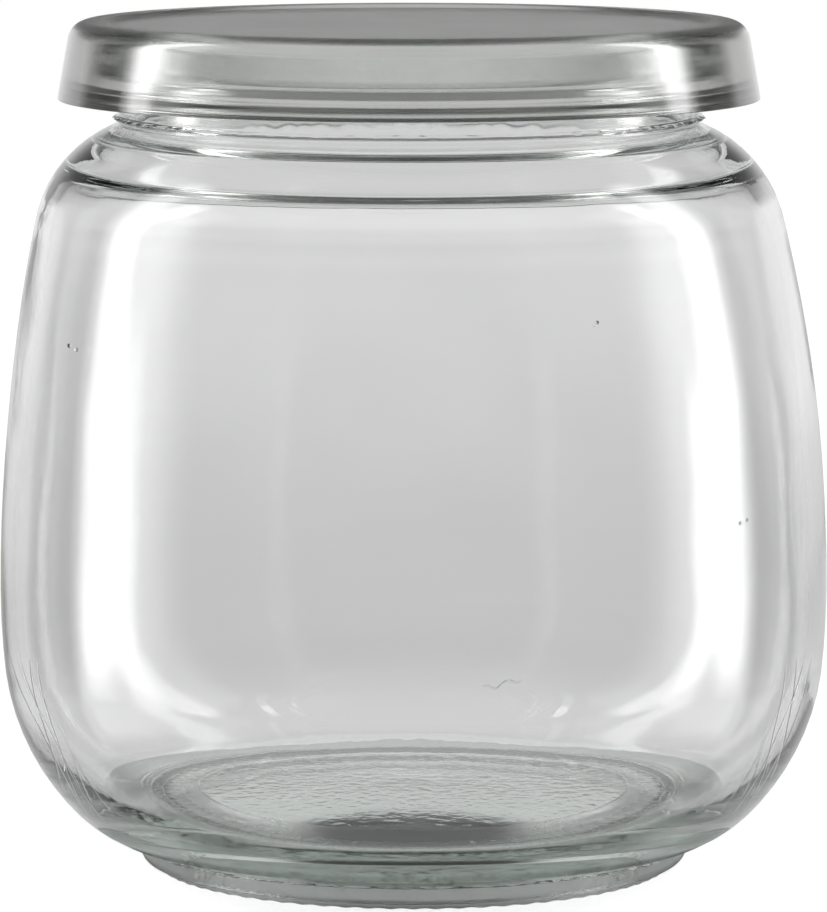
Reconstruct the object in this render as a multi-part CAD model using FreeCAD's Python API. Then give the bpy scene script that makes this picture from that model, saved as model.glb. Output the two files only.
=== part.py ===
import FreeCAD, Part

import math
import os

# A squat, round-bellied glass jar with a push-on plastic lid, in millimetres.
# +Z is up. The origin is the centre of the ring that the jar stands on.
# Every piece is a turned form, so each is drawn as one half-section in the XZ plane
# and revolved about Z. A section point is (radius, height).

# Jar, outside
jar_height = 121.2          # standing plane to the top of the glass rim
belly_diameter = 120.0      # widest part of the body
belly_height = 40.6         # height of the widest part
shoulder_inset = 5.95       # how far the wall has come in where the shoulder starts to turn
shoulder_drop = 13.75       # from the foot of the neck down to where the shoulder starts
heel_inset = 0.54           # how far the wall has come in where the heel starts to turn
heel_height = 29.75         # height where the heel starts to turn
underside_slope = 10.0      # degrees, the body's underside where it meets the foot ring

# Jar, foot ring and base
foot_diameter = 80.0        # outside of the foot ring where the body meets it
foot_height = 3.9           # height of that line
foot_taper = 0.2            # how much the foot ring narrows before its rounded edge
foot_edge_height = 1.8      # height of the rounded edge
foot_edge_width = 2.3       # radial width of the rounded edge
bearing_width = 3.2         # flat ring that the jar rests on
push_up_height = 5.2        # underside of the base above the standing plane, at its rim
push_up_slope_width = 2.4   # radial width of the slope from the bearing ring to the push-up
push_up_crown = 1.0         # further rise of the underside towards its centre
floor_height = 9.8          # inside floor above the standing plane
floor_diameter = 91.0       # flat part of the inside floor
floor_crown = 0.5           # rise of the inside floor towards its centre

# Jar, wall and neck
wall = 2.2                  # glass thickness of the body and shoulder
neck_diameter = 83.8        # outside of the short neck
neck_wall = 2.0             # glass thickness of the neck
neck_height = 12.95         # from the foot of the neck to the top of the rim
bead_height = 5.8           # rim bead, from its widest line up to the top of the rim
bead_projection = 3.85      # how far the widest line of the bead stands out from the neck
bead_taper = 0.8            # how much less the bead stands out at its top
bead_underside = 1.6        # height of the slope under the bead
rim_round = 1.1             # rounding of the two edges of the rim

# Lid
lid_clearance = 0.25        # radial gap between the bead and the lid
lid_rim_thickness = 1.8     # plastic above the glass rim
lid_panel_thickness = 1.2   # plastic over the mouth, inside the raised rim of the lid
lid_panel_diameter = 86.0   # recessed panel
lid_panel_slope = 0.8       # radial width of the slope into the recess
lid_skirt_wall = 3.45       # plastic beside the top of the bead
lid_flare = 2.0             # how much wider the skirt is at its lower edge
lid_corner = 2.5            # rounding of the top outer edge
ridge_gap = 1.3             # from the widest line of the bead down to the snap ridge
ridge_height = 1.6          # snap ridge inside the skirt
skirt_below_ridge = 0.7     # from the snap ridge down to the lid's lower edge
ridge_bite = 0.25           # how far the ridge reaches in under the widest line of the bead
lead_in = 1.1               # how much the skirt opens from the ridge to its lower edge

# Directions in a section
OUTWARD = (1.0, 0.0)
INWARD = (-1.0, 0.0)
UP = (0.0, 1.0)
DOWN = (0.0, -1.0)


def vector(point):
    """A section point as a vector in the XZ plane."""
    return FreeCAD.Vector(point[0], 0.0, point[1])


def unit(a, b):
    """The unit direction from section point a to section point b."""
    length = math.hypot(b[0] - a[0], b[1] - a[1])
    return ((b[0] - a[0]) / length, (b[1] - a[1]) / length)


class ArcPiece:
    """An arc of a section that starts along a given direction and ends at a given point.

    The reach is its radius, positive where the centre lies to the left of the way it runs.
    """

    def __init__(self, start, direction, end):
        self.start = start
        self.end = end
        chord = (end[0] - start[0], end[1] - start[1])
        left = (-direction[1], direction[0])
        across = chord[0] * left[0] + chord[1] * left[1]
        self.reach = (chord[0] ** 2 + chord[1] ** 2) / (2.0 * across)
        self.centre = (start[0] + self.reach * left[0], start[1] + self.reach * left[1])

    def left_at(self, point):
        """The direction to the left of the way the arc runs, at a point of it."""
        away = unit(self.centre, point)
        turn = math.copysign(1.0, self.reach)
        return (-turn * away[0], -turn * away[1])

    def direction_at(self, point):
        """The direction in which the arc runs at a point of it."""
        left = self.left_at(point)
        return (left[1], -left[0])

    def middle(self):
        """The point half-way along the arc, which turns by less than half a circle."""
        half = ((self.start[0] + self.end[0]) / 2.0, (self.start[1] + self.end[1]) / 2.0)
        away = unit(self.centre, half)
        radius = abs(self.reach)
        return (self.centre[0] + radius * away[0], self.centre[1] + radius * away[1])

    def edge(self):
        """The arc as an edge of a section."""
        return Part.Arc(vector(self.start), vector(self.middle()), vector(self.end)).toShape()

    def beside(self, point, distance):
        """A point of the arc moved to its left, or to its right by a negative distance."""
        left = self.left_at(point)
        return (point[0] + distance * left[0], point[1] + distance * left[1])

    def height_beside(self, radius, distance):
        """Height at a distance from the Z axis of the arc that runs beside this one."""
        reach = self.reach - distance
        rise = math.sqrt(reach ** 2 - (radius - self.centre[0]) ** 2)
        return self.centre[1] + math.copysign(rise, reach)


def two_arcs(start, start_direction, end, end_direction):
    """Two arcs that join smoothly and leave and arrive along the given directions."""
    chord = (end[0] - start[0], end[1] - start[1])
    total = (start_direction[0] + end_direction[0], start_direction[1] + end_direction[1])
    along = chord[0] * total[0] + chord[1] * total[1]
    length_squared = chord[0] ** 2 + chord[1] ** 2
    spread = 2.0 * (1.0 - start_direction[0] * end_direction[0] - start_direction[1] * end_direction[1])
    reach = (math.sqrt(along ** 2 + spread * length_squared) - along) / spread
    joint = tuple(
        (start[i] + end[i] + reach * (start_direction[i] - end_direction[i])) / 2.0 for i in (0, 1)
    )
    first = ArcPiece(start, start_direction, joint)
    second = ArcPiece(joint, first.direction_at(joint), end)
    return first, second


def line(a, b):
    """A straight edge of a section."""
    return Part.LineSegment(vector(a), vector(b)).toShape()


def crown(edge_radius, edge_height, rise):
    """A shallow arc from the Z axis, where it has risen, down to the edge."""
    radius = (edge_radius ** 2 + rise ** 2) / (2.0 * rise)
    half = edge_radius / 2.0
    fall = radius - math.sqrt(radius ** 2 - half ** 2)
    top = edge_height + rise
    return Part.Arc(vector((0.0, top)), vector((half, top - fall)),
                    vector((edge_radius, edge_height))).toShape()


def revolve(edges):
    """The solid turned by a closed section."""
    wire = Part.Wire(Part.__sortEdges__(edges))
    face = Part.Face(wire)
    solid = face.revolve(FreeCAD.Vector(0, 0, 0), FreeCAD.Vector(0, 0, 1), 360)
    if solid.Volume < 0:
        solid.reverse()
    return solid


belly_radius = belly_diameter / 2.0
neck_radius = neck_diameter / 2.0
mouth_radius = neck_radius - neck_wall
neck_foot_height = jar_height - neck_height
bead_line_height = jar_height - bead_height
bead_radius = neck_radius + bead_projection
bead_top_radius = bead_radius - bead_taper


def glass_jar():
    """Foot ring, body, shoulder, neck and rim bead in one turned glass solid."""
    belly = (belly_radius, belly_height)
    heel = (belly_radius - heel_inset, heel_height)
    foot_line = (foot_diameter / 2.0, foot_height)
    shoulder = (belly_radius - shoulder_inset, neck_foot_height - shoulder_drop)
    neck_foot = (neck_radius, neck_foot_height)
    slope = math.radians(underside_slope)

    # Outside, from the foot ring up to the neck.
    lower_belly = ArcPiece(belly, DOWN, heel)
    heel_arc, underside_arc = two_arcs(heel, lower_belly.direction_at(heel), foot_line,
                                       (-math.cos(slope), -math.sin(slope)))
    upper_belly = ArcPiece(belly, UP, shoulder)
    shoulder_arc = ArcPiece(shoulder, upper_belly.direction_at(shoulder), neck_foot)
    outside = [lower_belly.edge(), heel_arc.edge(), underside_arc.edge(),
               upper_belly.edge(), shoulder_arc.edge()]

    # Foot ring and the push-up under the base.
    foot_side = (foot_line[0] - foot_taper, foot_edge_height)
    bearing_outer = (foot_side[0] - foot_edge_width, 0.0)
    bearing_inner = (bearing_outer[0] - bearing_width, 0.0)
    push_up = (bearing_inner[0] - push_up_slope_width, push_up_height)
    foot = [line(foot_line, foot_side),
            ArcPiece(bearing_outer, OUTWARD, foot_side).edge(),
            line(bearing_outer, bearing_inner),
            line(bearing_inner, push_up),
            crown(push_up[0], push_up[1], push_up_crown)]

    # Neck, bead and rim.
    bead_foot = (neck_radius, bead_line_height - bead_underside)
    bead_line = (bead_radius, bead_line_height)
    rim_outer = (bead_top_radius, jar_height)
    down = unit(rim_outer, bead_line)
    rim_side = (rim_outer[0] + down[0] * rim_round, rim_outer[1] + down[1] * rim_round)
    rim_top_outer = (rim_outer[0] - rim_round, jar_height)
    rim_top_inner = (mouth_radius + rim_round, jar_height)
    mouth_side = (mouth_radius, jar_height - rim_round)
    neck_inside_height = shoulder_arc.height_beside(mouth_radius, wall)
    neck_inside = (mouth_radius, neck_inside_height)
    top = [line(neck_foot, bead_foot),
           line(bead_foot, bead_line),
           line(bead_line, rim_side),
           ArcPiece(rim_top_outer, OUTWARD, rim_side).edge(),
           line(rim_top_outer, rim_top_inner),
           ArcPiece(rim_top_inner, INWARD, mouth_side).edge(),
           line(mouth_side, neck_inside)]

    # Inside: the wall's arcs keep the outside's centres; the heel runs in to the floor.
    shoulder_inside = shoulder_arc.beside(shoulder, wall)
    belly_inside = (belly_radius - wall, belly_height)
    heel_inside = lower_belly.beside(heel, -wall)
    floor_edge = (floor_diameter / 2.0, floor_height)
    down_belly = ArcPiece(belly_inside, DOWN, heel_inside)
    up_belly = ArcPiece(belly_inside, UP, shoulder_inside)
    inside_shoulder = ArcPiece(shoulder_inside, up_belly.direction_at(shoulder_inside), neck_inside)
    inside_heel = ArcPiece(heel_inside, down_belly.direction_at(heel_inside), floor_edge)
    inside = [inside_shoulder.edge(), up_belly.edge(), down_belly.edge(), inside_heel.edge(),
              crown(floor_edge[0], floor_edge[1], floor_crown)]

    axis = line((0.0, push_up_height + push_up_crown), (0.0, floor_height + floor_crown))
    return revolve(outside + foot + top + inside + [axis])


def plastic_lid():
    """Push-on lid: recessed panel, rounded edge, flared skirt and inner snap ridge."""
    seat = jar_height
    lid_top = seat + lid_rim_thickness
    panel_top = seat + lid_panel_thickness
    cavity_top = (bead_top_radius + lid_clearance, seat)
    ridge_top_height = bead_line_height - ridge_gap
    ridge_foot_height = ridge_top_height - ridge_height
    lower_edge = ridge_foot_height - skirt_below_ridge
    ridge_inner = bead_radius - ridge_bite
    wall_foot = (bead_radius + lid_clearance, ridge_top_height)
    ridge_crest = (ridge_inner, ridge_top_height - ridge_height / 2.0)
    ridge_foot = (ridge_inner + ridge_height / 2.0, ridge_foot_height)
    inner_edge = (ridge_inner + lead_in, lower_edge)
    outer_edge = (cavity_top[0] + lid_skirt_wall + lid_flare, lower_edge)
    top_edge = (cavity_top[0] + lid_skirt_wall, lid_top)
    up = unit(outer_edge, top_edge)
    side = (top_edge[0] - up[0] * lid_corner, top_edge[1] - up[1] * lid_corner)
    rim_top = (top_edge[0] - lid_corner, lid_top)
    recess_top = (lid_panel_diameter / 2.0 + lid_panel_slope, lid_top)
    recess_foot = (lid_panel_diameter / 2.0, panel_top)
    section = [line((0.0, seat), cavity_top),
               line(cavity_top, wall_foot),
               line(wall_foot, ridge_crest),
               line(ridge_crest, ridge_foot),
               line(ridge_foot, inner_edge),
               line(inner_edge, outer_edge),
               line(outer_edge, side),
               ArcPiece(rim_top, OUTWARD, side).edge(),
               line(rim_top, recess_top),
               line(recess_top, recess_foot),
               line(recess_foot, (0.0, panel_top)),
               line((0.0, panel_top), (0.0, seat))]
    return revolve(section)


nodes = {
    "glass_jar": glass_jar,
    "plastic_lid": plastic_lid,
}

os.makedirs("parts", exist_ok=True)
for name, build in nodes.items():
    shape = build()
    shape.exportStep("parts/" + name + ".step")
    print(name, "volume cm3", round(shape.Volume / 1000.0, 2), "valid", shape.isValid())
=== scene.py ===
import logging
import math
from dataclasses import dataclass, field
from enum import Enum
from typing import Any, ClassVar, Optional, Union

import bpy
import numpy as np
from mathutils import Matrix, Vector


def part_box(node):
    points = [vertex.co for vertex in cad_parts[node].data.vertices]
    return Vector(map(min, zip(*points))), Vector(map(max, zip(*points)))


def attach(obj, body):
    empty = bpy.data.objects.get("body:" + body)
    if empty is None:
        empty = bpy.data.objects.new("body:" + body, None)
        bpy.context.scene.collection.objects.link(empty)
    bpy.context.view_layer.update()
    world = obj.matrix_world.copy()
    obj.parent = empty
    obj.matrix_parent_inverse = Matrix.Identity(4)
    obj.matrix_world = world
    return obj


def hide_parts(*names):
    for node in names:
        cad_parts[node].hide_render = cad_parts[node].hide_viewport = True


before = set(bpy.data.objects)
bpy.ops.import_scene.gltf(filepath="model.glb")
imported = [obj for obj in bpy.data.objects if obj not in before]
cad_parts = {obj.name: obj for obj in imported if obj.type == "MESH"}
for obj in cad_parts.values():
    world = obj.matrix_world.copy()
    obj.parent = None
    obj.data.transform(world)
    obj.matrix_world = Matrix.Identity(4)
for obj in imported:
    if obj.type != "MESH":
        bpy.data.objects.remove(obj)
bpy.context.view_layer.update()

MM = 0.001
LOG = logging.getLogger("jar")
WHITE = (1.0, 1.0, 1.0, 1.0)
# Settings that the jar and its lid share: towards the top both lean a little to one side.
FORM = {
    "rough_size": 1.2 * MM,
    "lean": -0.65 * MM,
    "lean_from": 60.0 * MM,
    "lean_to": 108.0 * MM,
    "merge_distance": 0.002 * MM,
}

Point = tuple[float, float]
Window = tuple[float, float, float]


class Node(Enum):
    """The CAD nodes that the pieces stand for."""

    JAR = "glass_jar"
    LID = "plastic_lid"


class Slot(Enum):
    """The record's material slots."""

    GLASS = "clear_glass"
    LID = "clear_lid_plastic"


# ---------------------------------------------------------------------------------------------
# Node graphs


class Signal:
    """A number socket that takes part in Python arithmetic, adding Math nodes as it goes."""

    def __init__(self, graph: "Graph", socket: bpy.types.NodeSocket) -> None:
        """Wraps a socket.

        Args:
            graph: The graph that the socket's node is in.
            socket: An output socket that carries a number.
        """
        self.graph = graph
        self.socket = socket

    def _math(self, operation: str, first: Any, second: Any = None) -> "Signal":
        """Adds one Math node.

        Args:
            operation: The node's operation.
            first: The first value or signal.
            second: The second value or signal, if the operation has one.

        Returns:
            The node's result.
        """
        values = {i: v for i, v in enumerate((first, second)) if v is not None}
        node = self.graph.add("ShaderNodeMath", {"operation": operation}, values)
        return self.graph.signal(node, 0)

    def __add__(self, other: Any) -> "Signal":
        """Sum."""
        return self._math("ADD", self, other)

    def __radd__(self, other: Any) -> "Signal":
        """Sum, with the number on the left."""
        return self._math("ADD", other, self)

    def __sub__(self, other: Any) -> "Signal":
        """Difference."""
        return self._math("SUBTRACT", self, other)

    def __rsub__(self, other: Any) -> "Signal":
        """Difference, with the number on the left."""
        return self._math("SUBTRACT", other, self)

    def __mul__(self, other: Any) -> "Signal":
        """Product."""
        return self._math("MULTIPLY", self, other)

    def __rmul__(self, other: Any) -> "Signal":
        """Product, with the number on the left."""
        return self._math("MULTIPLY", other, self)

    def __truediv__(self, other: Any) -> "Signal":
        """Quotient."""
        return self._math("DIVIDE", self, other)

    def __rtruediv__(self, other: Any) -> "Signal":
        """Quotient, with the number on top."""
        return self._math("DIVIDE", other, self)

    def __neg__(self) -> "Signal":
        """The number with its sign turned."""
        return self._math("MULTIPLY", self, -1.0)

    def __abs__(self) -> "Signal":
        """The number without its sign."""
        return self._math("ABSOLUTE", self)

    def root(self) -> "Signal":
        """Square root."""
        return self._math("SQRT", self)

    def maximum(self, other: Any) -> "Signal":
        """The larger of two numbers."""
        return self._math("MAXIMUM", self, other)

    def minimum(self, other: Any) -> "Signal":
        """The smaller of two numbers."""
        return self._math("MINIMUM", self, other)

    def angle_to(self, other: Any) -> "Signal":
        """The angle in degrees whose tangent is this number over another."""
        return self._math("DEGREES", self._math("ARCTAN2", self, other))

    def sine(self) -> "Signal":
        """Sine of an angle in radians."""
        return self._math("SINE", self)

    def cosine(self) -> "Signal":
        """Cosine of an angle in radians."""
        return self._math("COSINE", self)

    def _step(self, low: float, high: float, before: float, after: float) -> "Signal":
        """A smooth step.

        Args:
            low: Where it starts.
            high: Where it ends.
            before: Its value up to the start.
            after: Its value from the end on.

        Returns:
            The step's value.
        """
        node = self.graph.add(
            "ShaderNodeMapRange", {"interpolation_type": "SMOOTHSTEP"},
            {"Value": self, "From Min": low, "From Max": high, "To Min": before, "To Max": after})
        return self.graph.signal(node, "Result")

    def rise(self, low: float, high: float) -> "Signal":
        """A smooth step up, from 0 at the low place to 1 at the high one."""
        return self._step(low, high, 0.0, 1.0)

    def fall(self, low: float, high: float) -> "Signal":
        """A smooth step down, from 1 at the low place to 0 at the high one."""
        return self._step(low, high, 1.0, 0.0)

    def band(self, low: float, high: float, soft: float) -> "Signal":
        """A smooth-edged window.

        Args:
            low: The middle of its lower edge.
            high: The middle of its upper edge.
            soft: Half the width of each edge.

        Returns:
            1 inside the window and 0 outside.
        """
        return self.rise(low - soft, low + soft) * self.fall(high - soft, high + soft)


Value = Union[float, int, bool, tuple, Signal, bpy.types.NodeSocket, bpy.types.Material]


class Graph:
    """Adds nodes to a tree, for shaders and for geometry alike."""

    def __init__(self, tree: bpy.types.NodeTree) -> None:
        """Takes over a tree.

        Args:
            tree: The node tree to build in; what it holds is cleared.
        """
        self.tree = tree
        tree.nodes.clear()

    def add(
        self,
        kind: str,
        settings: Optional[dict[str, Any]] = None,
        values: Optional[dict[Union[str, int], Value]] = None,
    ) -> bpy.types.Node:
        """Adds a node.

        Args:
            kind: The node's type name.
            settings: Its properties, which are set first.
            values: Values or links of its input sockets, by name or number.

        Returns:
            The node.
        """
        node = self.tree.nodes.new(kind)
        for key, setting in (settings or {}).items():
            setattr(node, key, setting)
        for key, value in (values or {}).items():
            self.put(node.inputs[key], value)
        return node

    def put(self, socket: bpy.types.NodeSocket, value: Value) -> None:
        """Links or sets an input socket.

        Args:
            socket: The input socket.
            value: A signal or an output socket to link, or a plain value to set.
        """
        if isinstance(value, Signal):
            value = value.socket
        if isinstance(value, bpy.types.NodeSocket):
            self.tree.links.new(value, socket)
        else:
            socket.default_value = value

    def signal(self, node: bpy.types.Node, output: Union[str, int] = 0) -> Signal:
        """One output of a node, ready for arithmetic."""
        return Signal(self, node.outputs[output])

    def axes(self, place: Value) -> tuple[Signal, ...]:
        """The X, Y and Z of a place or a direction."""
        split = self.add("ShaderNodeSeparateXYZ", {}, {0: place})
        return tuple(self.signal(split, axis) for axis in "XYZ")

    def noise(self, place: Value, noise: "Noise") -> Signal:
        """Noise at a place.

        Args:
            place: The place.
            noise: What the noise is like.

        Returns:
            The noise, around a half.
        """
        node = self.add("ShaderNodeTexNoise", {},
                        {"Vector": place, "Scale": noise.scale, "Detail": noise.detail,
                         "Roughness": noise.roughness})
        return self.signal(node, 0)


@dataclass(frozen=True)
class Noise:
    """What a noise is like: how fine, how many finer layers, and how strong these are."""

    scale: float
    detail: float
    roughness: float


def bumped(graph: Graph, height: Signal) -> bpy.types.NodeSocket:
    """The normal of a surface raised by a number of millimetres."""
    bump = graph.add("ShaderNodeBump", {}, {"Height": height, "Distance": MM, "Strength": 1.0})
    return bump.outputs["Normal"]


# ---------------------------------------------------------------------------------------------
# Finishes


@dataclass(frozen=True)
class ClearFinish:
    """A clear material: a transmissive surface around a volume that gives it its cast."""

    slot: ClassVar[Slot]
    ior: float = 1.5
    cast: tuple = WHITE
    cast_density: float = 0.0

    def surface(self, graph: Graph, place: bpy.types.NodeSocket) -> dict[str, Value]:
        """Works out what varies over the surface.

        Args:
            graph: The material's graph.
            place: The place on the piece.

        Returns:
            Values of the surface shader's inputs, by name.
        """
        raise NotImplementedError

    def material(self) -> bpy.types.Material:
        """Builds the material.

        Returns:
            The material.
        """
        material = bpy.data.materials.new(self.slot.value)
        material.use_nodes = True
        graph = Graph(material.node_tree)
        place = graph.add("ShaderNodeTexCoord").outputs["Object"]
        shader = graph.add("ShaderNodeBsdfPrincipled", {},
                           {"Base Color": WHITE, "IOR": self.ior, "Transmission Weight": 1.0,
                            **self.surface(graph, place)})
        absorb = graph.add("ShaderNodeVolumeAbsorption", {},
                           {"Color": self.cast, "Density": self.cast_density})
        graph.add("ShaderNodeOutputMaterial", {},
                  {"Surface": shader.outputs["BSDF"], "Volume": absorb.outputs["Volume"]})
        return material


@dataclass(frozen=True)
class FlowLines:
    """Two fine crossing lines in the glass, low on each side of the front.

    They follow the belly's outline at a distance and cross at one height.
    """

    height: float = 0.04 * MM
    outline_radius: float = 60.0 * MM
    outline_middle: float = 45.0 * MM
    outline_bend: float = 8.65
    inset: float = 4.6 * MM
    wander: float = 6.0 * MM
    crossing: float = 20.5 * MM
    spread: float = 0.12
    edge: Point = (0.02 * MM, 0.12 * MM)
    reach: Window = (-9.0 * MM, 11.0 * MM, 3.0 * MM)

    def mask(self, x: Signal, z: Signal, swell: Signal) -> Signal:
        """Draws the lines.

        Args:
            x: The place's X.
            z: The place's Z.
            swell: The slow noise of the surface, which makes the lines wander.

        Returns:
            1 on a line, 0 beside it.
        """
        drop = self.outline_middle - z
        middle = self.outline_radius - self.inset - 0.5 * self.wander
        path = swell * self.wander + middle - drop * drop * self.outline_bend
        rise = z - self.crossing
        aside = abs(path - abs(x)) - abs(rise) * self.spread
        return abs(aside).fall(*self.edge) * rise.band(*self.reach)


@dataclass(frozen=True)
class Scratch:
    """A short curly mark on the outside of the belly."""

    depth: float = 0.06 * MM
    start: float = 9.4 * MM
    length: float = 5.2 * MM
    level: float = 34.9 * MM
    slope: float = 0.22
    curl: float = 0.35 * MM
    curl_rate: float = 2100.0
    edge: Point = (0.04 * MM, 0.16 * MM)
    end_edge: float = 0.2 * MM

    def mask(self, x: Signal, z: Signal) -> Signal:
        """Draws the mark.

        Args:
            x: The place's X.
            z: The place's Z.

        Returns:
            1 on the mark, 0 beside it.
        """
        foot = self.level - self.start * self.slope
        path = (x * self.curl_rate).sine() * self.curl + x * self.slope + foot
        line = abs(z - path).fall(*self.edge)
        return line * x.band(self.start, self.start + self.length, self.end_edge)


@dataclass(frozen=True)
class JarGlass(ClearFinish):
    """Clear pressed glass: smooth, faintly wavy, with a green-grey cast where it is thick."""

    slot: ClassVar[Slot] = Slot.GLASS
    ior: float = 1.52
    cast: tuple = (0.60, 0.70, 0.64, 1.0)
    cast_density: float = 12.0
    wave: Noise = Noise(38.0, 1.0, 0.4)
    wave_height: float = 0.16 * MM
    grain: Noise = Noise(520.0, 1.0, 0.6)
    grain_height: float = 0.16 * MM
    peel_height: float = 0.004 * MM
    scratch: Scratch = Scratch()
    flow: FlowLines = FlowLines()
    seeds: tuple[Point, ...] = ((-47.2 * MM, 78.7 * MM), (45.6 * MM, 55.0 * MM),
                                (24.8 * MM, 84.0 * MM))
    seed_height: float = 0.14 * MM
    seed_edge: Point = (0.08 * MM, 0.3 * MM)
    front: Point = (-20.0 * MM, -10.0 * MM)
    frost: float = 0.12
    frost_top: Point = (6.2 * MM, 6.8 * MM)
    frost_rim: Point = (39.0 * MM, 39.4 * MM)
    ring_frost: float = 0.5
    ring_top: Point = (4.6 * MM, 5.3 * MM)

    def surface(self, graph: Graph, place: bpy.types.NodeSocket) -> dict[str, Value]:
        """Works out the frost underneath and the normal.

        Args:
            graph: The material's graph.
            place: The place on the piece.

        Returns:
            Values of the surface shader's inputs, by name.
        """
        x, y, z = graph.axes(place)
        under = z.fall(*self.frost_top) * (x * x + y * y).root().fall(*self.frost_rim)
        frost = self.frost + z.fall(*self.ring_top) * (self.ring_frost - self.frost)
        swell = graph.noise(place, self.wave)
        height = swell * (self.wave_height / MM) + graph.noise(place, self.grain) * (
            under * (self.grain_height / MM) + self.peel_height / MM)
        seeds = None
        for seed_x, seed_z in self.seeds:
            aside, above = x - seed_x, z - seed_z
            off = aside * aside + above * above
            seeds = off if seeds is None else seeds.minimum(off)
        marks = (seeds.root().fall(*self.seed_edge) * (self.seed_height / MM)
                 + self.scratch.mask(x, z) * (self.scratch.depth / MM)
                 + self.flow.mask(x, z, swell) * (self.flow.height / MM))
        height = height + marks * y.fall(*self.front)
        return {"Roughness": under * frost, "Normal": bumped(graph, height)}


@dataclass(frozen=True)
class LidPlastic(ClearFinish):
    """Clear soft plastic: faintly grey, hazy on top, with a glossy skirt."""

    slot: ClassVar[Slot] = Slot.LID
    cast: tuple = (0.70, 0.71, 0.69, 1.0)
    cast_density: float = 150.0
    clouds: Noise = Noise(60.0, 3.0, 0.6)
    wave: Noise = Noise(45.0, 1.0, 0.4)
    wave_height: float = 0.05 * MM
    haze: float = 0.2
    haze_change: float = 0.08
    haze_edge: Point = (121.5 * MM, 122.6 * MM)
    skirt_haze: float = 0.12
    coat: float = 0.9
    coat_roughness: float = 0.02

    def surface(self, graph: Graph, place: bpy.types.NodeSocket) -> dict[str, Value]:
        """Works out the haze of the top, the coat of the skirt and the normal.

        Args:
            graph: The material's graph.
            place: The place on the piece.

        Returns:
            Values of the surface shader's inputs, by name.
        """
        height = graph.axes(place)[2]
        haze = graph.noise(place, self.clouds) * self.haze_change + self.haze
        haze = haze * height.rise(*self.haze_edge) + self.skirt_haze
        waves = graph.noise(place, self.wave) * (self.wave_height / MM)
        return {"Roughness": haze, "Coat Weight": height.fall(*self.haze_edge) * self.coat,
                "Coat IOR": self.ior, "Coat Roughness": self.coat_roughness,
                "Normal": bumped(graph, waves)}


# ---------------------------------------------------------------------------------------------
# Turned forms


@dataclass(frozen=True)
class Relief:
    """What lies on a stretch of a section besides its line.

    Softness rounds the corners at its ends, waves are broad and shallow, roughness is short and
    jagged, and a knurl is a ring of radial bars.
    """

    soft: float = 0.25 * MM
    wave: float = 0.0
    rough: float = 0.0
    knurl: float = 0.0


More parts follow.
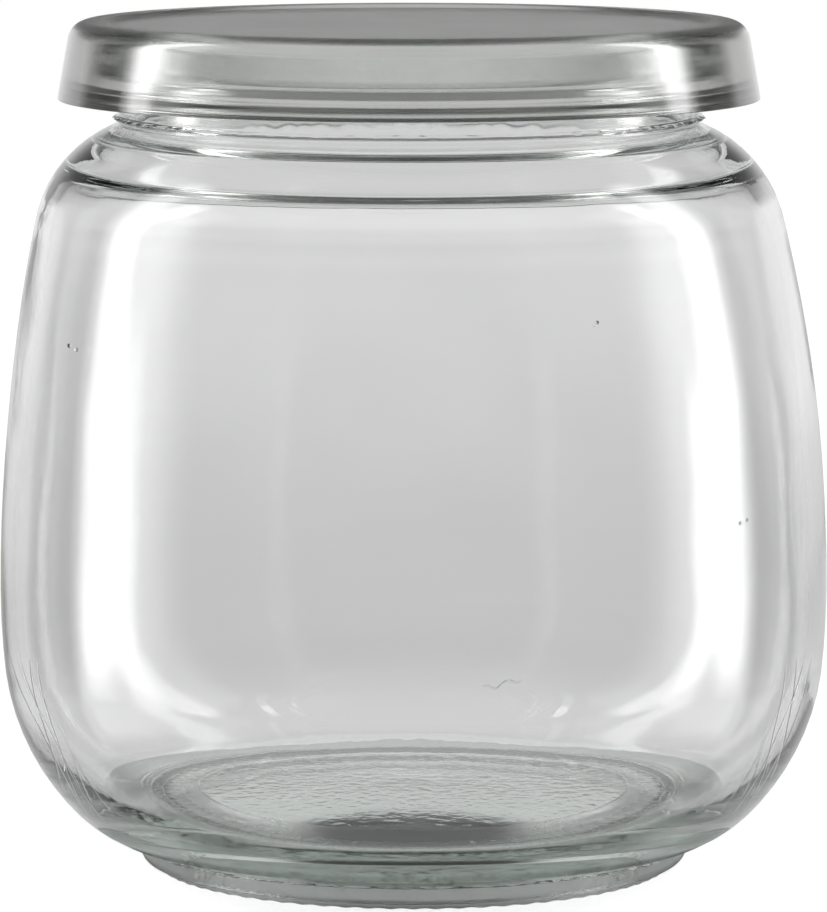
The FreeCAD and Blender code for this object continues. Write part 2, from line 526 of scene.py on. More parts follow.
@dataclass
class Section:
    """Half of a turned form's outline, drawn as one line of (radius, height) samples.

    When it is finished, the samples that stay are shared out by need: one share for each LONGEST
    of length and for each SHARPEST of bend, evened out over BLUR samples and never below LEAST.
    """

    LONGEST: ClassVar[float] = 1.6 * MM
    SHARPEST: ClassVar[float] = math.radians(3.0)
    LEAST: ClassVar[float] = 1e-6
    BLUR: ClassVar[int] = 5

    start: Point
    step: float = 0.2 * MM
    samples: list[tuple[float, ...]] = field(default_factory=list)
    heading: Point = (1.0, 0.0)

    def __post_init__(self) -> None:
        """Puts down the first sample."""
        self.samples.append((*self.start, self.step, 0.0, 0.0, 0.0))

    @property
    def end(self) -> Point:
        """The last point drawn."""
        return self.samples[-1][0], self.samples[-1][1]

    def _lay(self, points: np.ndarray, relief: "Relief") -> None:
        """Adds samples and takes the heading from the last two.

        Args:
            points: Points after the last one drawn, in order.
            relief: The relief of this stretch.
        """
        before = self.end if len(points) < 2 else points[-2]
        self.samples.extend((float(r), float(z), relief.soft, relief.wave, relief.rough,
                             relief.knurl) for r, z in points)
        run = np.subtract(points[-1], before)
        self.heading = tuple(run / np.linalg.norm(run))

    def line(self, radius: float, height: float, relief: "Relief") -> "Section":
        """Draws a straight stretch.

        Args:
            radius: Radius of its end.
            height: Height of its end.
            relief: Its relief.

        Returns:
            The section, for the next stretch.
        """
        first, last = np.array(self.end), np.array((radius, height))
        count = max(2, math.ceil(np.linalg.norm(last - first) / self.step))
        share = np.linspace(0.0, 1.0, count + 1)[1:, None]
        self._lay(first + share * (last - first), relief)
        return self

    def arc(self, radius: float, height: float, relief: "Relief",
            heading: Optional[Point] = None) -> "Section":
        """Draws an arc that leaves along the present heading.

        Args:
            radius: Radius of its end.
            height: Height of its end.
            relief: Its relief.
            heading: The direction in which it leaves, if not the present heading.

        Returns:
            The section, for the next stretch.
        """
        first = np.array(self.end)
        chord = np.array((radius, height)) - first
        run = np.array(heading or self.heading)
        left = np.array((-run[1], run[0]))
        reach = chord @ chord / (2.0 * (chord @ left))
        centre = first + reach * left
        turn = 2.0 * math.atan2(chord @ left, chord @ run)
        count = max(3, math.ceil(abs(turn * reach) / self.step))
        angle = np.linspace(0.0, turn, count + 1)[1:]
        out = first - centre
        points = np.stack((
            centre[0] + out[0] * np.cos(angle) - out[1] * np.sin(angle),
            centre[1] + out[0] * np.sin(angle) + out[1] * np.cos(angle)), axis=1)
        self._lay(points, relief)
        self.heading = (run[0] * math.cos(turn) - run[1] * math.sin(turn),
                        run[0] * math.sin(turn) + run[1] * math.cos(turn))
        return self

    def back_along(self, other: "Section", relief: "Relief", heading: Point) -> "Section":
        """Follows another section from its end back to its start.

        Args:
            other: The section to follow, which ends where this one does.
            relief: Its relief here.
            heading: The direction in which this section then runs.

        Returns:
            The section, for the next stretch.
        """
        points = np.array([sample[:2] for sample in reversed(other.samples[:-1])])
        self._lay(points, relief)
        self.heading = heading
        return self

    def finished(self, count: int) -> np.ndarray:
        """Rounds the corners and keeps the samples that the curve needs.

        Args:
            count: How many samples to keep.

        Returns:
            Rows of radius, height, wave, roughness and knurl; the ends lie on the axis.
        """
        rows = np.array(self.samples)
        along = np.concatenate(([0.0], np.cumsum(np.hypot(*np.diff(rows[:, :2], axis=0).T))))
        even = np.arange(0.0, along[-1], self.step)
        rows = np.stack([np.interp(even, along, column) for column in rows.T], axis=1)
        room = np.minimum(even, even[-1] - even) / 3.0
        width = np.maximum(np.minimum(rows[:, 2], room), self.step / 4.0)
        weight = np.exp(-0.5 * ((even[:, None] - even[None, :]) / width[:, None]) ** 2)
        weight /= weight.sum(axis=1, keepdims=True)
        smooth = weight @ rows[:, [0, 1, 3, 4, 5]]
        smooth[(0, -1), 0] = 0.0
        run = np.diff(smooth[:, :2], axis=0)
        length = np.hypot(*run.T)
        angle = np.unwrap(np.arctan2(run[:, 1], run[:, 0]))
        bend = np.abs(np.gradient(angle))
        need = length / self.LONGEST + bend / self.SHARPEST + self.LEAST
        need = np.convolve(need, np.ones(self.BLUR) / self.BLUR, mode="same") + self.LEAST
        total = np.concatenate(([0.0], np.cumsum(need)))
        picks = np.interp(np.linspace(0.0, total[-1], count), total, np.arange(len(total)))
        return np.stack([np.interp(picks, np.arange(len(smooth)), column)
                         for column in smooth.T], axis=1)


class TurnedForm:
    """The geometry tree that turns a section about Z, gives it its relief and leans its top.

    Its short noise is steepened by JAG_GAIN, lifted by JAG_LIFT and cut off at 0, which leaves
    jagged teeth with gaps between them.
    """

    JAG_GAIN = 1.8
    JAG_LIFT = 0.45
    WAVE_DETAIL = 2.0
    ROUGH_DETAIL = 3.0
    FIELDS = ("wave", "rough", "knurl")
    INPUTS = (
        ("Segments", "NodeSocketInt"),
        ("Bars", "NodeSocketInt"),
        ("Wave Size", "NodeSocketFloat"),
        ("Rough Size", "NodeSocketFloat"),
        ("Seed", "NodeSocketFloat"),
        ("Lean", "NodeSocketFloat"),
        ("Lean From", "NodeSocketFloat"),
        ("Lean To", "NodeSocketFloat"),
        ("Merge Distance", "NodeSocketFloat"),
        ("Material", "NodeSocketMaterial"),
    )

    def __init__(self) -> None:
        """Builds the tree."""
        self.tree = bpy.data.node_groups.new("turned_form", "GeometryNodeTree")
        face = self.tree.interface
        face.new_socket("Geometry", in_out="INPUT", socket_type="NodeSocketGeometry")
        face.new_socket("Geometry", in_out="OUTPUT", socket_type="NodeSocketGeometry")
        for name, kind in self.INPUTS:
            face.new_socket(name, in_out="INPUT", socket_type=kind)
        graph = Graph(self.tree)
        given = graph.add("NodeGroupInput")
        profile = graph.add("GeometryNodeMeshToCurve", {}, {"Mesh": given.outputs["Geometry"]})
        place = graph.add("GeometryNodeInputPosition")
        kept = self._kept(graph, profile.outputs["Curve"], place.outputs["Position"], "VECTOR")
        radius, _, height = graph.axes(kept.outputs[1])
        relief = {}
        for name in self.FIELDS:
            named = graph.add("GeometryNodeInputNamedAttribute", {"data_type": "FLOAT"},
                              {"Name": name})
            kept = self._kept(graph, kept.outputs["Geometry"], named.outputs["Attribute"])
            relief[name] = graph.signal(kept, 1)
        circle = graph.add("GeometryNodeCurvePrimitiveCircle", {},
                           {"Resolution": given.outputs["Segments"], "Radius": 1.0})
        index = graph.add("GeometryNodeInputIndex")
        turn = self._kept(graph, circle.outputs["Curve"], index.outputs["Index"])
        swept = graph.add("GeometryNodeCurveToMesh", {},
                          {"Curve": turn.outputs["Geometry"],
                           "Profile Curve": kept.outputs["Geometry"]})
        angle = graph.signal(turn, 1) * (2.0 * math.pi) / graph.signal(given, "Segments")
        flat = graph.add("ShaderNodeCombineXYZ", {},
                         {"X": radius * angle.cosine(), "Y": radius * angle.sine(), "Z": height})
        broad = self._noise(graph, flat, given, "Wave Size", self.WAVE_DETAIL)
        short = self._noise(graph, flat, given, "Rough Size", self.ROUGH_DETAIL)
        bars = 0.5 - 0.5 * (angle * graph.signal(given, "Bars")).cosine()
        lean = graph.add(
            "ShaderNodeMapRange", {"interpolation_type": "SMOOTHSTEP"},
            {"Value": height, "From Min": given.outputs["Lean From"],
             "From Max": given.outputs["Lean To"], "To Min": 0.0, "To Max": 1.0})
        offset = graph.signal(lean, "Result") * graph.signal(given, "Lean")
        jagged = (short * self.JAG_GAIN + self.JAG_LIFT).maximum(0.0)
        out = radius + broad * relief["wave"] + jagged * relief["rough"]
        final = graph.add("ShaderNodeCombineXYZ", {},
                          {"X": out * angle.cosine() + offset, "Y": out * angle.sine(),
                           "Z": height + bars * relief["knurl"]})
        moved = graph.add("GeometryNodeSetPosition", {},
                          {"Geometry": swept.outputs["Mesh"], "Position": final.outputs[0]})
        merged = graph.add("GeometryNodeMergeByDistance", {},
                           {"Geometry": moved.outputs["Geometry"],
                            "Distance": given.outputs["Merge Distance"]})
        real = graph.add("GeometryNodeRealizeInstances", {},
                         {"Geometry": merged.outputs["Geometry"]})
        dressed = graph.add("GeometryNodeSetMaterial", {},
                            {"Geometry": real.outputs["Geometry"],
                             "Material": given.outputs["Material"]})
        graph.add("NodeGroupOutput", {}, {"Geometry": dressed.outputs["Geometry"]})

    @staticmethod
    def _noise(graph: Graph, place: bpy.types.Node, given: bpy.types.Node, size: str,
               detail: float) -> Signal:
        """Adds noise between -1 and 1.

        Args:
            graph: The graph.
            place: The node that gives the place on the plain form.
            given: The group's input node.
            size: Name of the input that gives the size of the noise.
            detail: How much finer noise lies on it.

        Returns:
            The noise.
        """
        noise = graph.add("ShaderNodeTexNoise", {"noise_dimensions": "4D"},
                          {"Vector": place.outputs[0], "W": given.outputs["Seed"],
                           "Scale": 1.0 / graph.signal(given, size), "Detail": detail})
        return (graph.signal(noise, 0) - 0.5) * 2.0

    @staticmethod
    def _kept(graph: Graph, geometry: bpy.types.NodeSocket, value: bpy.types.NodeSocket,
              kind: str = "FLOAT") -> bpy.types.Node:
        """Captures a field on the points of a geometry.

        Args:
            graph: The graph.
            geometry: What to capture on.
            value: The field.
            kind: The kind of value.

        Returns:
            The capture node; its second output is the value.
        """
        node = graph.add("GeometryNodeCaptureAttribute")
        node.capture_items.new(kind, "kept")
        graph.put(node.inputs[0], geometry)
        graph.put(node.inputs[1], value)
        return node

    def build(self, name: str, rows: np.ndarray, **settings: Any) -> bpy.types.Object:
        """Turns a section into a closed mesh.

        Args:
            name: Name of the new object.
            rows: Rows of radius, height and relief.
            **settings: Values of the tree's inputs, with underscores for spaces.

        Returns:
            The object, with a plain mesh and no modifier.
        """
        mesh = bpy.data.meshes.new(name + "_section")
        count = len(rows)
        mesh.from_pydata([(row[0], 0.0, row[1]) for row in rows],
                         [(i, i + 1) for i in range(count - 1)], [])
        for column, label in enumerate(self.FIELDS, start=2):
            attribute = mesh.attributes.new(label, "FLOAT", "POINT")
            attribute.data.foreach_set("value", rows[:, column].astype(np.float32))
        return baked(name, mesh, self.tree, settings)


def baked(name: str, mesh: bpy.types.Mesh, tree: bpy.types.NodeTree,
          settings: dict[str, Any]) -> bpy.types.Object:
    """Runs a geometry tree over a mesh and keeps the result as a plain mesh.

    Args:
        name: Name of the new object.
        mesh: The mesh that the tree starts from.
        tree: The geometry tree.
        settings: Values of the tree's inputs, with underscores for spaces.

    Returns:
        The object, smooth, with its faces pointing outwards and no modifier.
    """
    carrier = bpy.data.objects.new(name + "_carrier", mesh)
    bpy.context.scene.collection.objects.link(carrier)
    modifier = carrier.modifiers.new("tree", "NODES")
    modifier.node_group = tree
    sockets = {item.name: item.identifier for item in tree.interface.items_tree
               if item.item_type == "SOCKET" and item.in_out == "INPUT"}
    for key, value in settings.items():
        modifier[sockets[key.replace("_", " ").title()]] = value
    carrier.update_tag()
    graph = bpy.context.evaluated_depsgraph_get()
    graph.update()
    result = bpy.data.meshes.new_from_object(carrier.evaluated_get(graph))
    bpy.data.objects.remove(carrier)
    result.name = name
    for label in TurnedForm.FIELDS + ("kept",):
        if label in result.attributes:
            result.attributes.remove(result.attributes[label])
    face_outwards(result)
    result.polygons.foreach_set("use_smooth", np.ones(len(result.polygons), dtype=bool))
    piece = bpy.data.objects.new(name, result)
    bpy.context.scene.collection.objects.link(piece)
    return piece


def face_outwards(mesh: bpy.types.Mesh) -> None:
    """Flips a closed mesh whose faces point inwards.

    Args:
        mesh: The mesh, changed in place.
    """
    mesh.calc_loop_triangles()
    corners = np.zeros(len(mesh.vertices) * 3)
    mesh.vertices.foreach_get("co", corners)
    corners = corners.reshape(-1, 3)
    triangles = np.zeros(len(mesh.loop_triangles) * 3, dtype=np.int32)
    mesh.loop_triangles.foreach_get("vertices", triangles)
    a, b, c = (corners[triangles.reshape(-1, 3)[:, i]] for i in range(3))
    volume = np.einsum("ij,ij->i", a, np.cross(b, c)).sum() / 6.0
    if volume < 0.0:
        mesh.flip_normals()


# ---------------------------------------------------------------------------------------------
# The jar


@dataclass
class Foot:
    """The underside: push-up, bearing ring with its bars, and the foot's outside."""

    push_up_height: float = 5.2 * MM
    push_up_crown: float = 1.0 * MM
    push_up_radius: float = 31.9 * MM
    ring_radii: Point = (34.0 * MM, 37.4 * MM)
    step: Point = (37.5 * MM, 0.8 * MM)
    ledge: Point = (38.2 * MM, 0.9 * MM)
    turn: Point = (39.8 * MM, 2.2 * MM)
    radius: float = 40.0 * MM
    height: float = 3.9 * MM
    fin_root: Point = (-0.05 * MM, -0.4 * MM)
    fin_lower: float = -0.25 * MM
    fin_slope: float = 0.1 * MM


@dataclass
class Neck:
    """The neck's outside above its foot, up to the rim: a seam's fin, and the bead."""

    radius: float = 41.9 * MM
    height: float = 12.95 * MM
    fin_heights: tuple[float, ...] = (0.55 * MM, 0.85 * MM, 1.1 * MM, 1.3 * MM)
    fin_shares: tuple[float, ...] = (0.0, 1.0, 0.5, 0.0)
    bead_height: float = 5.8 * MM
    bead_slope: float = 1.6 * MM
    bead_projection: float = 3.85 * MM
    rim_projection: float = 3.05 * MM
    mouth_radius: float = 39.9 * MM


@dataclass
class Inside:
    """The inside: two small shelves under the neck, the belly, the heel and the floor."""

    wall: float = 2.2 * MM
    shoulder_drop: float = 0.5 * MM
    neck_drop: float = 0.9 * MM
    thin_to: Point = (50.4 * MM, 97.9 * MM)
    shelf_at: Point = (47.0 * MM, 100.4 * MM)
    shelf: Point = (1.8 * MM, -0.3 * MM)
    neck_shelf_at: Point = (42.7 * MM, 105.6 * MM)
    neck_shelf: Point = (2.2 * MM, -0.25 * MM)
    floor_radius: float = 45.5 * MM
    floor_height: float = 9.8 * MM
    floor_crown: float = 0.5 * MM


@dataclass
class Jar:
    """The glass: foot ring, thick base, round belly, shoulder, short neck and rim bead."""

    rim_height: float
    belly_radius: float
    belly_height: float = 40.6 * MM
    shoulder_inset: float = 5.95 * MM
    shoulder_drop: float = 13.75 * MM
    heel_inset: float = 0.54 * MM
    heel_height: float = 29.75 * MM
    heel_turn: Point = (49.91 * MM, 9.14 * MM)
    fin: float = 0.4 * MM
    wave_size: float = 28.0 * MM
    seed: float = 3.0
    bars: int = 72
    segments: int = 432
    samples: int = 225
    foot: Foot = field(default_factory=Foot)
    neck: Neck = field(default_factory=Neck)
    inside: Inside = field(default_factory=Inside)

    PLAIN: ClassVar[Relief] = Relief()
    EDGE: ClassVar[Relief] = Relief(soft=0.2 * MM)
    SHARP: ClassVar[Relief] = Relief(soft=0.07 * MM)
    BARS: ClassVar[Relief] = Relief(soft=0.2 * MM, knurl=0.2 * MM)
    FIN: ClassVar[Relief] = Relief(soft=0.07 * MM, rough=0.6 * MM)
    OUTER: ClassVar[Relief] = Relief(soft=0.12 * MM, wave=0.02 * MM)
    BEAD: ClassVar[Relief] = Relief(soft=0.3 * MM)
    RIM: ClassVar[Relief] = Relief(soft=0.5 * MM)
    MOUTH: ClassVar[Relief] = Relief(soft=0.15 * MM, wave=0.05 * MM)
    INNER: ClassVar[Relief] = Relief(soft=0.3 * MM, wave=0.25 * MM)
    CREASE: ClassVar[Relief] = Relief(soft=0.1 * MM, wave=0.25 * MM, rough=0.3 * MM)
    STREAKY: ClassVar[Relief] = Relief(soft=0.15 * MM, wave=0.45 * MM, rough=0.06 * MM)
    CORNER: ClassVar[Relief] = Relief(soft=1.6 * MM, wave=0.12 * MM)
    FLOOR: ClassVar[Relief] = Relief(soft=1.6 * MM, wave=0.05 * MM)

    @property
    def neck_foot(self) -> float:
        """Height of the foot of the neck."""
        return self.rim_height - self.neck.height

    @property
    def shoulder(self) -> Point:
        """Where the outside starts to turn in at the shoulder."""
        return self.belly_radius - self.shoulder_inset, self.neck_foot - self.shoulder_drop

    def section(self) -> Section:
        """Draws the outline from the underside's centre round the outside to the inside's floor.

        Returns:
            The section.
        """
        drawn = Section((0.0, self.foot.push_up_height + self.foot.push_up_crown))
        self._underside(drawn)
        self._outside(drawn)
        self._bead(drawn)
        self._hollow(drawn)
        return drawn

    def _underside(self, drawn: Section) -> None:
        """Draws the push-up, the bearing ring and the foot ring.

        Args:
            drawn: The section so far.
        """
        foot = self.foot
        drawn.arc(foot.push_up_radius, foot.push_up_height, self.PLAIN, heading=(1.0, 0.0))
        drawn.line(foot.ring_radii[0], 0.0, self.EDGE)
        drawn.line(foot.ring_radii[1], 0.0, self.BARS)
        drawn.line(*foot.step, self.SHARP)
        drawn.line(*foot.ledge, self.SHARP)
        drawn.arc(*foot.turn, self.EDGE, heading=(1.0, 0.0))
        drawn.line(foot.radius + foot.fin_root[0], foot.height + foot.fin_root[1], self.SHARP)
        drawn.line(foot.radius + self.fin, foot.height + foot.fin_lower, self.FIN)
        drawn.line(foot.radius + self.fin + foot.fin_slope, foot.height, self.FIN)

    def _outside(self, drawn: Section) -> None:
        """Draws the heel, the belly and the shoulder.

        Args:
            drawn: The section so far.
        """
        heel = Section((self.belly_radius, self.belly_height), heading=(0.0, -1.0))
        heel.arc(self.belly_radius - self.heel_inset, self.heel_height, self.OUTER)
        heel.arc(*self.heel_turn, self.OUTER)
        heel.arc(self.foot.radius + self.fin + self.foot.fin_slope, self.foot.height, self.OUTER)
        drawn.back_along(heel, self.OUTER, (0.0, 1.0))
        drawn.arc(*self.shoulder, self.OUTER)
        drawn.arc(self.neck.radius, self.neck_foot, self.OUTER)

    def _bead(self, drawn: Section) -> None:
        """Draws the neck's outside with its seam, the bead and the rim.

        Args:
            drawn: The section so far.
        """
        neck = self.neck
        reliefs = (self.SHARP, self.FIN, self.FIN, self.SHARP)
        for height, share, relief in zip(neck.fin_heights, neck.fin_shares, reliefs):
            drawn.line(neck.radius + share * self.fin, self.neck_foot + height, relief)
        bead_line = self.rim_height - neck.bead_height
        drawn.line(neck.radius, bead_line - neck.bead_slope, self.EDGE)
        drawn.line(neck.radius + neck.bead_projection, bead_line, self.BEAD)
        drawn.line(neck.radius + neck.rim_projection, self.rim_height, self.RIM)
        drawn.line(neck.mouth_radius, self.rim_height, self.RIM)

    def _hollow(self, drawn: Section) -> None:
        """Draws the inside from the mouth down to the floor's centre.

        Args:
            drawn: The section so far.
        """
        inside = self.inside
        throat = (self.neck.mouth_radius, self.neck_foot - inside.neck_drop)
        drawn.line(*throat, self.MOUTH)
        wall = Section((self.belly_radius - inside.wall, self.belly_height), heading=(0.0, 1.0))
        wall.arc(self.shoulder[0] - inside.wall, self.shoulder[1] - inside.shoulder_drop,
                 self.INNER)
        wall.arc(*inside.thin_to, self.INNER)
        shelves = ((inside.shelf_at, inside.shelf, self.CREASE),
                   (inside.neck_shelf_at, inside.neck_shelf, self.STREAKY))
        for place, shelf, relief in shelves:
            wall.line(place[0] + shelf[0], place[1] + shelf[1], relief)
            wall.line(*place, self.CREASE)
        wall.line(*throat, self.INNER)
        drawn.back_along(wall, self.INNER, (0.0, -1.0))
        drawn.arc(self.belly_radius - inside.wall - self.heel_inset, self.heel_height, self.INNER)
        drawn.arc(inside.floor_radius, inside.floor_height, self.CORNER)
        drawn.line(0.0, inside.floor_height + inside.floor_crown, self.FLOOR)

    def build(self, turned: TurnedForm, finish: JarGlass) -> list[bpy.types.Object]:
        """Builds and dresses the glass.

        Args:
            turned: The tree that turns a section.
            finish: The glass.

        Returns:
            The finished pieces.
        """
        rows = self.section().finished(self.samples)
        glass = turned.build(
            "jar_glass", rows, segments=self.segments, bars=self.bars, seed=self.seed,
            wave_size=self.wave_size, material=finish.material(), **FORM)
        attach(glass, "root")
        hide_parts(Node.JAR.value)
        return [glass]


@dataclass
class Lid:
    """The push-on lid: recessed panel, rounded edge, flared skirt and inner snap ridge."""

    seat: float
    top: float
    lower_edge: float
    edge_radius: float
    seat_radius: float = 45.2 * MM
    ridge: tuple[Point, ...] = ((45.95 * MM, 114.1 * MM), (45.5 * MM, 113.3 * MM),
                                (46.3 * MM, 112.5 * MM))
    skirt_radius: float = 46.6 * MM
    edge_inset: float = 1.56 * MM
    edge_drop: float = 2.4 * MM
    top_inset: float = 4.5 * MM
    recess_radii: Point = (43.8 * MM, 43.0 * MM)
    recess: float = 0.6 * MM
    wave_size: float = 30.0 * MM
    seed: float = 7.0
    segments: int = 320
    samples: int = 150

    EDGE: ClassVar[Relief] = Relief(soft=0.15 * MM)

    def section(self) -> Section:
        """Draws the outline from the underside's centre round the skirt to the panel's top.

        Returns:
            The section.
        """
        panel = self.top - self.recess
        under = ((self.seat_radius, self.seat), *self.ridge, (self.skirt_radius, self.lower_edge),
                 (self.edge_radius, self.lower_edge),
                 (self.edge_radius - self.edge_inset, self.top - self.edge_drop))
        above = ((self.recess_radii[0], self.top), (self.recess_radii[1], panel), (0.0, panel))
        drawn = Section((0.0, self.seat))
        for point in under:
            drawn.line(*point, self.EDGE)
        drawn.arc(self.edge_radius - self.top_inset, self.top, self.EDGE)
        for point in above:
            drawn.line(*point, self.EDGE)
        return drawn

    def build(self, turned: TurnedForm, finish: LidPlastic) -> list[bpy.types.Object]:
        """Builds and dresses the lid.

        Args:
            turned: The tree that turns a section.
            finish: The plastic.

        Returns:
            The finished pieces.
        """
        rows = self.section().finished(self.samples)
        shell = turned.build(
            "lid_shell", rows, segments=self.segments, bars=1, seed=self.seed,
            wave_size=self.wave_size, material=finish.material(), **FORM)
        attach(shell, "root")
        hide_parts(Node.LID.value)
        return [shell]


# ---------------------------------------------------------------------------------------------
# Studio


@dataclass
class Shade:
    """The floor just under the jar as a glowing disc with painted shadow and painted shade: its
    light by place, seen only through the glass.
    """

    radius: float = 50.0 * MM
    depth: float = 0.05 * MM
    corners: int = 64
    colour: tuple = (0.94, 1.0, 0.97, 1.0)
    darkest: float = 0.02
    gain: float = 0.70
    # The painted shadow patch: how far towards the front it lies, and its soft edge.
    shadow_patch_shift: float = 24.0 * MM
    shadow_patch_edge: Point = (13.0 * MM, 21.0 * MM)
    # The painted contact shadow round the foot ring.
    contact_shadow_inner: Point = (36.4 * MM, 36.8 * MM)
    contact_shadow_outer: Point = (40.5 * MM, 43.5 * MM)
    contact_shadow_depth: float = 0.95
    # Painted shade over the floor from the bearing ring outwards.
    outer_shade_edge: Point = (32.5 * MM, 34.5 * MM)
    outer_shade_depth: float = 0.45

    def light(self, x: Signal, y: Signal) -> Signal:
        """The painted light and painted shadow of the floor at a place.

        Args:
            x: The place's X.
            y: The place's Y.

        Returns:
            Its strength.
        """
        out = (x * x + y * y).root()
        shifted = y + self.shadow_patch_shift
        off = (x * x + shifted * shifted).root()
        # Painted shadow patch, centred in front of the axis.
        lit = self.darkest + self.gain * off.rise(*self.shadow_patch_edge)
        # Painted contact shadow round the foot.
        contact_shadow = out.rise(*self.contact_shadow_inner) * out.fall(*self.contact_shadow_outer)
        # Painted shade from the bearing ring outwards.
        outer_shade = out.rise(*self.outer_shade_edge)
        return lit * (1.0 - self.contact_shadow_depth * contact_shadow) * (1.0 - self.outer_shade_depth * outer_shade)


@dataclass
class Surroundings:
    """The studio's light by direction. Angles are in degrees.

    The turn runs from 0 in front, on the camera's side, to 180 at the back; the rise is 0 at
    eye level. Each pair says where a change starts and where it is complete.
    """

    back_turn: Point = (108.0, 136.0)
    backdrop: float = 0.59
    backdrop_gain: float = 0.27
    backdrop_rise: Point = (-9.0, -1.0)
    upper_loss: float = 0.5
    upper_rise: Point = (5.0, 16.0)
    table_gain: float = 0.11
    table_rise: Point = (-14.0, -9.0)
    front: float = 0.35
    front_gain: float = 0.2
    front_rise: Point = (-20.0, -8.0)
    gap_turn: Window = (110.0, 134.0, 6.0)
    gap_dark: float = 0.75
    ceiling: float = 0.05
    ceiling_rise: Point = (13.0, 29.0)
    panel: float = 1.3
    panel_start: Point = (70.0, 86.0)
    panel_end: Point = (107.0, 111.0)
    panel_rise: Window = (-28.0, 50.0, 3.0)
    core: float = 4.0
    core_turn: Window = (94.0, 105.0, 3.0)
    core_rise: Window = (-14.0, 50.0, 4.0)

    def light(self, x: Signal, y: Signal, z: Signal) -> Signal:
        """The light that comes from a direction.

        Args:
            x: The direction's X.
            y: The direction's Y.
            z: The direction's Z.

        Returns:
            Its strength.
        """
        turn = abs(x.angle_to(-y))
        rise = z.angle_to((x * x + y * y).root())
        back = turn.rise(*self.back_turn)
        backdrop = self.backdrop + self.backdrop_gain * rise.rise(*self.backdrop_rise)
        backdrop = backdrop - self.upper_loss * rise.rise(*self.upper_rise)
        backdrop = backdrop + self.table_gain * rise.fall(*self.table_rise)
        front = self.front + self.front_gain * rise.fall(*self.front_rise)
        base = front * (1.0 - back) + backdrop * back
        base = base * (1.0 - self.gap_dark * turn.band(*self.gap_turn))
        high = rise.rise(*self.ceiling_rise)
        base = base * (1.0 - high) + self.ceiling * high
        panel = turn.rise(*self.panel_start) * turn.fall(*self.panel_end)
        core = turn.band(*self.core_turn)
        return (base + self.panel * panel * rise.band(*self.panel_rise)
                + self.core * core * rise.band(*self.core_rise))


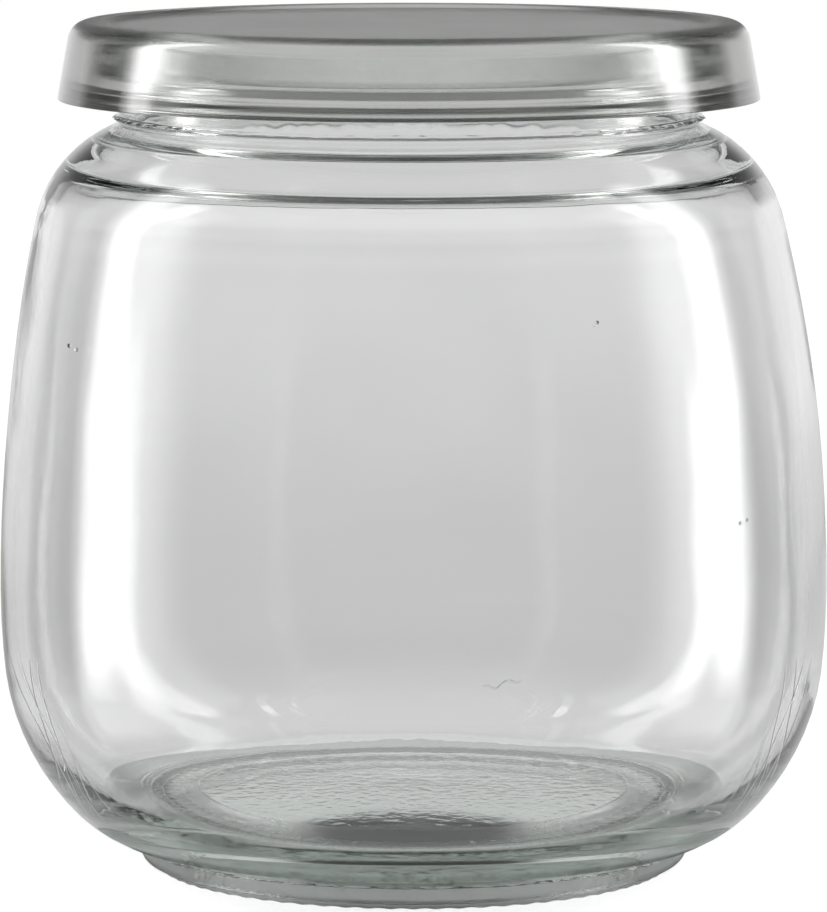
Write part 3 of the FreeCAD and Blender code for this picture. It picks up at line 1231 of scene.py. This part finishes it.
@dataclass
class Studio:
    """Pale floor, soft studio light all round, and the camera."""

    floor_size: float = 3.0
    floor_grey: float = 0.9
    floor_roughness: float = 0.9
    floor_glow: float = 0.78
    camera_distance: float = 0.9432
    camera_height: float = 0.1762
    camera_pitch: float = 7.04
    focal_length: float = 284.9
    sensor_width: float = 36.0
    clear_bounces: int = 32
    glossy_bounces: int = 12
    diffuse_bounces: int = 2
    under_jar: Shade = field(default_factory=Shade)
    surroundings: Surroundings = field(default_factory=Surroundings)

    @staticmethod
    def _sheet(name: str, corners: list[tuple[float, ...]]) -> tuple[bpy.types.Object, Graph]:
        """Makes a flat stage object with an empty material.

        Args:
            name: Its name.
            corners: Its corners, in order.

        Returns:
            The object and its material's graph.
        """
        mesh = bpy.data.meshes.new(name)
        mesh.from_pydata(corners, [], [tuple(range(len(corners)))])
        sheet = bpy.data.objects.new(name, mesh)
        bpy.context.scene.collection.objects.link(sheet)
        material = bpy.data.materials.new(name)
        material.use_nodes = True
        mesh.materials.append(material)
        return sheet, Graph(material.node_tree)

    def floor(self) -> None:
        """Lays the floor."""
        half, grey = self.floor_size / 2.0, self.floor_grey
        floor, graph = self._sheet("floor", [(-half, -half, 0.0), (half, -half, 0.0),
                                             (half, half, 0.0), (-half, half, 0.0)])
        shader = graph.add("ShaderNodeBsdfPrincipled", {},
                           {"Base Color": (grey, grey, grey, 1.0), "Specular IOR Level": 0.0,
                            "Roughness": self.floor_roughness,
                            "Emission Color": WHITE, "Emission Strength": self.floor_glow})
        graph.add("ShaderNodeOutputMaterial", {}, {"Surface": shader.outputs["BSDF"]})
        floor.visible_glossy = False
        floor.visible_transmission = False

    def shade(self) -> None:
        """Lays the part of the floor that lies in the jar's shade, which only the glass sees: a
        glowing disc with painted shadow and painted shade.
        """
        shade = self.under_jar
        turns = [2.0 * math.pi * i / shade.corners for i in range(shade.corners)]
        patch, graph = self._sheet("shade", [
            (shade.radius * math.cos(turn), shade.radius * math.sin(turn), -shade.depth)
            for turn in turns])
        x, y, _ = graph.axes(graph.add("ShaderNodeTexCoord").outputs["Object"])
        # The disc glows with painted light, painted shadow and painted shade; it is no lamp.
        glow = graph.add("ShaderNodeEmission", {},
                         {"Color": shade.colour, "Strength": shade.light(x, y)})
        graph.add("ShaderNodeOutputMaterial", {}, {"Surface": glow.outputs[0]})

    def light(self) -> None:
        """Lights the scene from all round; the camera itself sees plain white."""
        world = bpy.data.worlds.new("studio")
        world.use_nodes = True
        bpy.context.scene.world = world
        graph = Graph(world.node_tree)
        way = graph.axes(graph.add("ShaderNodeTexCoord").outputs["Generated"])
        seen = graph.add("ShaderNodeLightPath").outputs["Is Camera Ray"]
        ambient, plain = (
            graph.add("ShaderNodeBackground", {}, {"Color": WHITE, "Strength": strength})
            for strength in (self.surroundings.light(*way), 1.0))
        mixed = graph.add("ShaderNodeMixShader", {},
                          {0: seen, 1: ambient.outputs[0], 2: plain.outputs[0]})
        graph.add("ShaderNodeOutputWorld", {}, {"Surface": mixed.outputs[0]})

    def camera(self) -> None:
        """Sets up the camera, a little above the jar and looking slightly down."""
        data = bpy.data.cameras.new("camera")
        data.sensor_fit = "HORIZONTAL"
        data.sensor_width = self.sensor_width
        data.lens = self.focal_length
        camera = bpy.data.objects.new("camera", data)
        camera.location = (0.0, -self.camera_distance, self.camera_height)
        camera.rotation_euler = (math.radians(90.0 - self.camera_pitch), 0.0, 0.0)
        bpy.context.scene.collection.objects.link(camera)
        bpy.context.scene.camera = camera

    def settings(self) -> None:
        """Plain colours, and enough bounces for light to pass all the clear walls."""
        scene = bpy.context.scene
        scene.view_settings.view_transform = "Standard"
        scene.cycles.max_bounces = self.clear_bounces
        scene.cycles.transmission_bounces = self.clear_bounces
        scene.cycles.glossy_bounces = self.glossy_bounces
        scene.cycles.diffuse_bounces = self.diffuse_bounces


def main() -> None:
    """Builds the jar, the lid and the studio, and reports each piece."""
    logging.basicConfig(level=logging.INFO, format="%(name)s: %(message)s")
    _, jar_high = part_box(Node.JAR.value)
    lid_low, lid_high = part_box(Node.LID.value)
    studio = Studio()
    studio.settings()
    studio.camera()
    studio.light()
    studio.floor()
    studio.shade()
    turned = TurnedForm()
    jar = Jar(rim_height=jar_high.z, belly_radius=jar_high.x)
    lid = Lid(seat=jar_high.z, top=lid_high.z, lower_edge=lid_low.z, edge_radius=lid_high.x)
    for piece in jar.build(turned, JarGlass()) + lid.build(turned, LidPlastic()):
        LOG.info("%s: %d faces", piece.name, len(piece.data.polygons))


if __name__ == "__main__":
    main()
